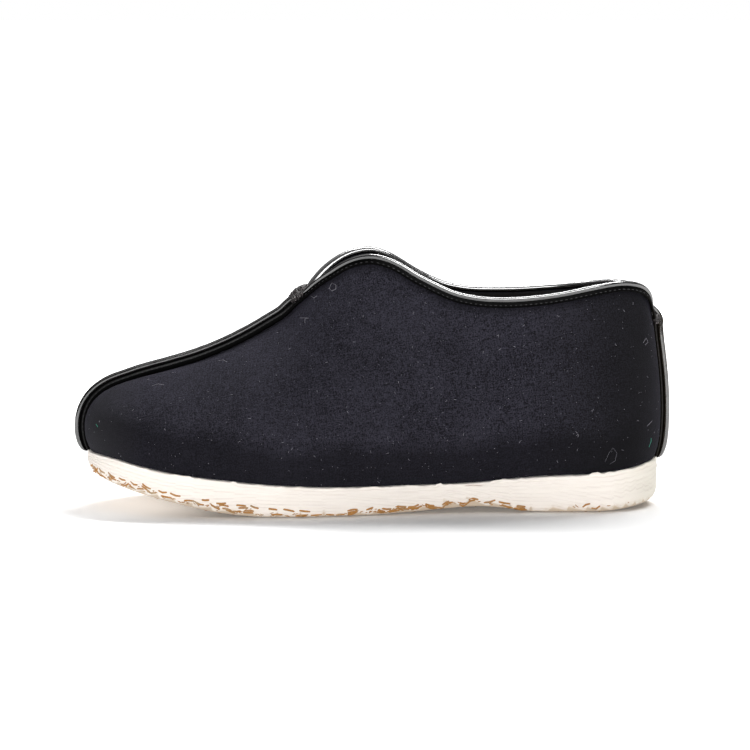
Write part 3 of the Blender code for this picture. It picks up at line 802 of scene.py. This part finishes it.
flannel = Finish("dark_flannel", 0.95)
flannel_nap = flannel.noise(flannel.place((900, 900, 900)), 3.0, 0.6)
flannel.colour(flannel.blend(flannel_nap, *FLANNEL_COLOURS))
flannel.relief(flannel_nap, 0.18 * MM)
flannel.shader.inputs["Specular IOR Level"].default_value = 0.15
upper.data.materials.append(cloth.material)
upper.data.materials.append(flannel.material)
centres, facings = (vectors_of(upper.data.polygons, key) for key in ("center", "normal"))
inside = (from_spine(centres) * facings).sum(1) < 0
upper.data.polygons.foreach_set("material_index", inside.astype(np.int32))
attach(upper, "root")
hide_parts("upper")


# A row of small black stitches holds the margin of the binding down on each panel. The thread is sewn through
# leather, cloth and lining, so each stitch dips in at both ends.
STITCH_PITCH = 2.3 * MM
STITCH_HALF = 0.72 * MM
THREAD_RADIUS = 0.17 * MM
# Where the bends of a stitch lie, in half stitches from its middle, and how far out, in thread radii.
STITCH_BENDS = (-1.0, -0.8, -0.3, 0.3, 0.8, 1.0)
STITCH_DEPTHS = (-2.2, -0.2, 0.55, 0.55, -0.2, -2.2)
THREAD_COLOURS = (0.004, 0.004, 0.005), (0.018, 0.017, 0.020)


def threads(name, lines, radius, round_steps=1, closed=False):
    """A joined mesh of round threads, one along each line of points."""
    curve = bpy.data.curves.new(name, "CURVE")
    curve.dimensions = "3D"
    curve.bevel_depth = radius
    curve.bevel_resolution = round_steps
    curve.use_fill_caps = True
    for line in lines:
        spline = curve.splines.new("POLY")
        spline.points.add(len(line) - 1)
        spline.use_cyclic_u = closed
        for place, point in zip(line, spline.points):
            point.co = (*place, 1.0)
    piece = bpy.data.objects.new(name, curve)
    bpy.context.scene.collection.objects.link(piece)
    take_up(piece)
    bpy.ops.object.convert(target="MESH")
    piece = bpy.context.object
    piece.name = piece.data.name = name
    bpy.ops.object.mode_set(mode="EDIT")
    bpy.ops.mesh.select_all(action="SELECT")
    bpy.ops.mesh.remove_doubles(threshold=1e-6)
    bpy.ops.mesh.normals_make_consistent(inside=False)
    bpy.ops.object.mode_set(mode="OBJECT")
    bpy.ops.object.shade_smooth()
    return piece


black_thread = Finish("black_thread", 0.6)
twist = black_thread.noise(black_thread.place((2600, 2600, 2600)), 2.0)
black_thread.colour(black_thread.blend(twist, *THREAD_COLOURS))
black_thread.relief(twist, 0.06 * MM)
for name in SIDES:
    foot, out, up, sizes = edges[name]
    run = length_along(foot)
    lines = []
    for middle in np.arange(TAPER, run[-1] - TAPER, STITCH_PITCH):
        lengths = middle + STITCH_HALF * np.array(STITCH_BENDS)
        depths = THREAD_RADIUS * np.array(STITCH_DEPTHS)
        margin, lift, top, high = (
            np.interp(lengths, run, sizes[key]) for key in ("margin", "lift", "top", "bead_high")
        )
        rise = 0.55 * np.maximum(lift, 0) + 0.45 * (top - 2 * high)
        foot_now, out_now, up_now = (at_length(table, run, lengths) for table in (foot, out, up))
        lines.append(foot_now + out_now * (1.04 * margin + depths)[:, None] + up_now * rise[:, None])
    stitches = threads(f"binding_stitches_{name}", lines, THREAD_RADIUS)
    stitches.data.materials.append(black_thread.material)
    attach(stitches, "root")


# At the throat and at the top of the heel, the two panels are held together by a tack: thick dark thread wound
# many times round both bound edges, with its turns packed tight and a few crossing the others.
TACK_THREAD = 0.42 * MM
TURN_POINTS = 22
CROSSING_TURNS = 5
TACK_COLOURS = (0.004, 0.003, 0.004), (0.021, 0.016, 0.016)
TACK_GLINT = (0.46, 0.41, 0.41)
# For each tack: how far it sits along and above its CAD solid, and its half sizes along, across and up, in mm.
TACKS = {"front_tack": (4.2, 0.4, 5.6, 3.3, 3.4), "heel_tack": (0.6, -0.8, 3.0, 2.9, 2.4)}
tack_finish = Finish("tack_thread", 0.42)
tack_twist = tack_finish.noise(tack_finish.place((1500, 1500, 1500)), 3.0, 0.6)
tack_pale = tack_finish.spread(tack_twist, 0.61, 0.65)
tack_dark = tack_finish.blend(tack_twist, *TACK_COLOURS)
tack_finish.colour(tack_finish.blend(tack_finish.maths("MULTIPLY", tack_pale, 0.7), tack_dark, TACK_GLINT))
tack_finish.relief(tack_twist, 0.10 * MM)
rng = random.Random(4)
for node, (ahead, raised, *halves) in TACKS.items():
    solid = np.array([corner.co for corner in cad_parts[node].data.vertices])
    centre = (solid.min(0) + solid.max(0)) / 2
    halves = np.array(halves) * MM
    foot, out, up, sizes = edges["medial"]
    stop = np.linalg.norm(foot - centre, axis=1).argmin()
    along = unit((foot[stop + 4] - foot[stop - 4]) * (1, 0, 1))
    across = np.array([0.0, 1.0, 0.0])
    rise = np.cross(along, across)
    rise *= np.sign((rise * up[stop]).sum())
    centre = centre + along * ahead * MM + rise * raised * MM
    turns = round(2 * halves[0] / (1.7 * TACK_THREAD))
    lines = []
    for turn in range(turns + CROSSING_TURNS):
        crossing = turn >= turns
        place = rng.uniform(-0.55, 0.55) if crossing else (turn + 0.5) / turns * 2 - 1
        round_off = math.sqrt(1 - 0.7 * place * place) * (1.06 if crossing else 1.0)
        lean = rng.uniform(-0.9, 0.9) * MM if crossing else rng.uniform(-0.2, 0.2) * MM
        angles = np.linspace(0, math.tau, TURN_POINTS, endpoint=False)
        wide = (halves[1] - TACK_THREAD) * round_off * rng.uniform(0.96, 1.03)
        high = (halves[2] - TACK_THREAD) * round_off * rng.uniform(0.96, 1.03)
        ring = centre + along * (place * (halves[0] - TACK_THREAD) + lean * np.sin(angles + turn))[:, None]
        lines.append(ring + across * (wide * np.cos(angles))[:, None] + rise * (high * np.sin(angles))[:, None])
    tack = threads(f"wound_{node}", lines, TACK_THREAD, 1, closed=True)
    tack.data.materials.append(tack_finish.material)
    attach(tack, "root")
    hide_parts(node)


# The insole is a thin pad of plain woven, undyed cotton. It is cut to the inside of the shoe and lies loose on
# the sole.
INSOLE_COLOURS = (0.62, 0.57, 0.49), (0.78, 0.74, 0.67)
insole = soft_copy("insole", "cotton_insole")
subdivide(insole, 2)
insole_cotton = Finish("insole_cotton", 0.92)
yarns = insole_cotton.parts(insole_cotton.place((5200, 5200, 1)))
yarn_cross = insole_cotton.maths(
    "MULTIPLY", insole_cotton.maths("SINE", yarns["X"]), insole_cotton.maths("SINE", yarns["Y"])
)
trodden = insole_cotton.noise(insole_cotton.place((60, 60, 60)), 3.0)
insole_cotton.colour(insole_cotton.blend(trodden, *INSOLE_COLOURS))
insole_cotton.relief(insole_cotton.spread(yarn_cross, -1.0, 1.0), 0.12 * MM)
insole.data.materials.append(insole_cotton.material)
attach(insole, "root")
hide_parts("insole")


# The layers of the sole are quilted together with brown hemp thread. Its stitches show in staggered rows under
# the sole, and round the rounded lower edge as short dashes and frayed specks.
HEMP_RADIUS = 0.50 * MM
QUILT_RADIUS = 0.40 * MM
QUILT_PITCH = 6.2 * MM
QUILT_ROW = 5.4 * MM
QUILT_HALF = 1.5 * MM
QUILT_ROWS, QUILT_COLUMNS = range(-8, 9), range(-21, 22)
# Where the bends of a quilting stitch lie, in half stitches from its middle, and how far out, in thread radii.
QUILT_BENDS = (-1, -0.6, 0, 0.6, 1)
QUILT_DEPTHS = (-1.6, -0.8, -0.4, -0.8, -1.6)
LEVEL_ENOUGH = 0.9
DASH_PITCH = 7.4 * MM
# The rows of edge dashes: their share of the sole's height, their pitch, and where the first dash lies.
DASH_ROWS = ((0.25, DASH_PITCH, 0.0), (0.11, DASH_PITCH * 0.8, 2.0 * MM))
DASH_BENDS = (-1.0, -0.75, 0.0, 0.75, 1.0)
DASH_DEPTHS = (-1.5, -0.4, 0.0, -0.4, -1.5)
DASH_CURVE = (0.0, 0.4, 1.0, 0.3, -0.4)
SPECKS = 620
SPECK_HEIGHT = 0.09
SPECK_RADIUS = 0.21 * MM
SPECK_DEPTH = 0.14 * MM
# The share of edge stitches that are worn away or covered at these places along the shoe, in mm.
HEMP_PLACES = (-134, -128, -36, -32, -16, -12, 66, 72, 130)
HEMP_MISSING = (0.9, 0.1, 0.05, 0.6, 0.6, 0.1, 0.2, 0.95, 1.0)
# How much higher or lower than the mean height the hemp shows, at the ball and from the waist back, in mm along.
HEMP_RISE_AT = (-60, 0)
HEMP_RISE = (1.25, 0.65)
FAR_OFF = 0.25
LOOP_STEPS = 260
ABOVE_FLOOR = 0.5 * MM
STRAIGHT_SIDES = 0.070
START_HEIGHT = 12 * MM
UNDER_SOLE, OVER_INSOLE = -0.05, 0.05
FRESH_HEMP = (0.24, 0.100, 0.024), (0.54, 0.275, 0.080)
WORN_HEMP = (0.27, 0.18, 0.10), (0.52, 0.39, 0.24)


def around_sole(share):
    """A line round the side of the sole at this share of its height, found from outside by casting rays."""
    line = []
    for step in range(LOOP_STEPS):
        turn = math.tau * step / LOOP_STEPS
        out = Vector((math.cos(turn), math.sin(turn), 0.0))
        middle = Vector((STRAIGHT_SIDES * max(-1.0, min(1.0, 1.6 * math.cos(turn))), 0.0, 0.0))
        height = START_HEIGHT
        for _ in range(3):
            start = middle + out * FAR_OFF + Vector((0.0, 0.0, height))
            hit, place, _, _ = sole.ray_cast(start, -out)
            if not hit:
                break
            low, high = (np.interp(place.x, table[:, 0], table[:, 2]) for table in (sole_undersides, sole_tops))
            height = low + share * np.interp(place.x / MM, HEMP_RISE_AT, HEMP_RISE) * (high - low)
        else:
            line.append(place)
    return np.array(line)


def laid_on(piece, places, depths):
    """Points at these depths over the surface of a piece, below it where the depth is negative."""
    laid = []
    for place, depth in zip(places, depths):
        _, spot, normal, _ = piece.closest_point_on_mesh(Vector(place))
        spot = spot + normal * depth
        laid.append(Vector((spot.x, spot.y, max(spot.z, ABOVE_FLOOR))))
    return laid


rng = random.Random(11)
hemp = Finish("hemp_thread", 0.85)
hemp_twist = hemp.noise(hemp.place((1400, 1400, 1400)), 3.0, 0.6)
faded = hemp.spread(hemp.noise(hemp.place((210, 210, 210)), 2.0), 0.48, 0.72)
hemp.colour(hemp.blend(faded, hemp.blend(hemp_twist, *FRESH_HEMP), hemp.blend(hemp_twist, *WORN_HEMP)))
hemp.relief(hemp_twist, 0.15 * MM)


def worn_away(middle, run, loop):
    """The share of edge stitches that are gone at this length along a line round the sole."""
    return np.interp(np.interp(middle, run, loop[:, 0]) / MM, HEMP_PLACES, HEMP_MISSING)


def quilted(name, piece, start_height, facing, radius):
    """Staggered rows of short stitches over a flat side of a piece, the one that faces down or up."""
    lines = []
    for row in QUILT_ROWS:
        for column in QUILT_COLUMNS:
            x = (column + (row % 2) / 2) * QUILT_PITCH
            y = row * QUILT_ROW + rng.uniform(-0.2, 0.2) * MM
            places = [Vector((x + share * QUILT_HALF, y, start_height)) for share in QUILT_BENDS]
            casts = [piece.ray_cast(place, Vector((0, 0, -facing))) for place in places]
            if all(cast[0] and cast[2].z * facing > LEVEL_ENOUGH for cast in casts):
                depths = radius * np.array(QUILT_DEPTHS)
                lines.append([cast[1] + cast[2] * depth for cast, depth in zip(casts, depths)])
    return threads(name, lines, radius, 0)


dashes = []
for share, pitch, start in DASH_ROWS:
    loop = around_sole(share)
    run = length_along(loop)
    for middle in np.arange(start, run[-1], pitch):
        middle += rng.uniform(-1.2, 1.2) * MM
        half = rng.uniform(1.8, 3.1) * MM
        slant = rng.uniform(-0.12, 0.12)
        if rng.random() < worn_away(middle, run, loop):
            continue
        for strand in range(rng.choice((1, 1, 2))):
            middle += strand * rng.uniform(-1.0, 1.6) * MM
            lengths = middle + half * np.array(DASH_BENDS)
            bend = rng.uniform(-0.25, 0.25) * MM * np.array(DASH_CURVE)
            rise = (lengths - middle) * (slant + rng.uniform(-0.1, 0.1)) + bend - strand * 1.2 * MM
            places = at_length(loop, run, lengths) + np.outer(rise, (0, 0, 1))
            dashes.append(laid_on(sole, places, HEMP_RADIUS * np.array(DASH_DEPTHS)))
under_quilting = quilted("quilting_stitches", sole, UNDER_SOLE, -1, QUILT_RADIUS)
insole_quilting = quilted("insole_stitches", insole, OVER_INSOLE, 1, 0.6 * QUILT_RADIUS)
edge_dashes = threads("edge_stitches", dashes, HEMP_RADIUS, 1)
specks = []
loop = around_sole(SPECK_HEIGHT)
run = length_along(loop)
for _ in range(SPECKS):
    middle = rng.uniform(0, run[-1])
    if rng.random() < worn_away(middle, run, loop):
        continue
    half = rng.uniform(0.3, 0.9) * MM
    lengths = middle + half * np.array([-1.0, 0.0, 1.0])
    drop = rng.uniform(-1.3, 1.5) * MM
    rise = (lengths - middle) * rng.uniform(-0.8, 0.8) + drop
    places = at_length(loop, run, lengths) + np.outer(rise, (0, 0, 1))
    specks.append(laid_on(sole, places, SPECK_DEPTH * np.array([-0.8, 0.5, -0.8])))
frayed = threads("hemp_specks", specks, SPECK_RADIUS, 0)
for piece in (under_quilting, insole_quilting, edge_dashes, frayed):
    piece.data.materials.append(hemp.material)
    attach(piece, "root")


# Lint and loose fibres cling to the napped cloth: a few found in the photograph, by name, and many strewn over
# both panels. Each is one short pale or green thread that lies on the surface.
LINT_RADIUS = 0.075 * MM
LINT_COUNT = 900
LINT_LENGTHS = (0.2, 0.2, 0.25, 0.3, 0.3, 0.4, 0.6, 1.2)
LINT_STEPS = 3
PHOTO_WIDTH = 750
LINT_COLOURS = (0.09, 0.088, 0.105), (0.30, 0.29, 0.33)
GREEN_COLOURS = (0.02, 0.22, 0.14), (0.05, 0.38, 0.26)
rng = random.Random(23)
lint = Finish("pale_lint", 0.9)
lint.colour(lint.blend(lint.noise(lint.place((300, 300, 300)), 1.0), *LINT_COLOURS))
green = Finish("green_fibre", 0.9)
green.colour(green.blend(green.noise(green.place((900, 900, 900)), 1.0), *GREEN_COLOURS))


def seen_at(x, y):
    """The spot on the upper that the camera sees at this place in its picture, or None."""
    across = (x / PHOTO_WIDTH - 0.5) * FRAME_WIDTH
    drop = (y / PHOTO_WIDTH - 0.5) * FRAME_WIDTH
    down = Vector((0.0, -math.sin(CAMERA_ELEVATION), -math.cos(CAMERA_ELEVATION)))
    target = CAMERA_AIM + Vector((across, 0, 0)) + down * drop
    hit, place, _, _ = upper.ray_cast(camera.location, (target - camera.location).normalized())
    return place if hit else None


def strewn():
    """Short bent fibres at random places on the outside of both panels."""
    fibres = []
    while len(fibres) < LINT_COUNT:
        side = rng.choice((-1, 1))
        start = Vector((rng.uniform(-0.13, 0.132), side * FAR_OFF, rng.uniform(14, 108) * MM))
        hit, place, normal, _ = upper.ray_cast(start, Vector((0, -side, 0)))
        if not hit or normal.y * side < 0.2:
            continue
        heading = rng.uniform(0, math.tau)
        length = rng.choice(LINT_LENGTHS) * MM
        line = [place]
        for _ in range(LINT_STEPS):
            heading += rng.uniform(-0.8, 0.8)
            line.append(line[-1] + length / LINT_STEPS * Vector((math.cos(heading), 0, math.sin(heading))))
        fibres.append(laid_on(upper, line, (0, LINT_RADIUS, LINT_RADIUS, 0)))
    return fibres


named = {
    "lint_ring": (lint, [(329, 289), (332, 283), (336, 285), (336, 289), (332, 291), (329, 288)]),
    "lint_star": (lint, [(311, 296), (314, 298), (317, 296), (314, 298), (315, 302)]),
    "lint_bar": (lint, [(300, 318), (305, 318), (309, 318), (305, 319), (305, 323)]),
    "lint_loop": (lint, [(605, 462), (609, 453), (613, 448), (617, 453), (615, 461), (610, 464)]),
    "lint_hook": (lint, [(643, 343), (646, 338), (648, 342), (645, 345)]),
    "lint_chip": (lint, [(647, 426), (650, 423), (652, 421)]),
    "lint_top": (lint, [(218, 361), (223, 360), (227, 362)]),
    "lint_streak": (lint, [(152, 386), (158, 384), (164, 385)]),
    "green_speck": (green, [(649, 447), (650, 444), (651, 441), (651, 438)]),
    "teal_speck": (green, [(96, 424), (98, 427)]),
}
for name, (finish, pixels) in named.items():
    line = [place for place in (seen_at(*pixel) for pixel in pixels) if place]
    if len(line) < 2:
        continue
    width = LINT_RADIUS * (0.65 if name == "lint_loop" else 1.1)
    fibre = threads(name, [laid_on(upper, line, [width] * len(line))], width)
    fibre.data.materials.append(finish.material)
    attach(fibre, "root")
strewn_lint = threads("strewn_lint", strewn(), LINT_RADIUS, 0)
strewn_lint.data.materials.append(lint.material)
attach(strewn_lint, "root")

size_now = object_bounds()
sizes = {"cad": [list(corner) for corner in cad_box], "scene": [list(corner) for corner in size_now]}
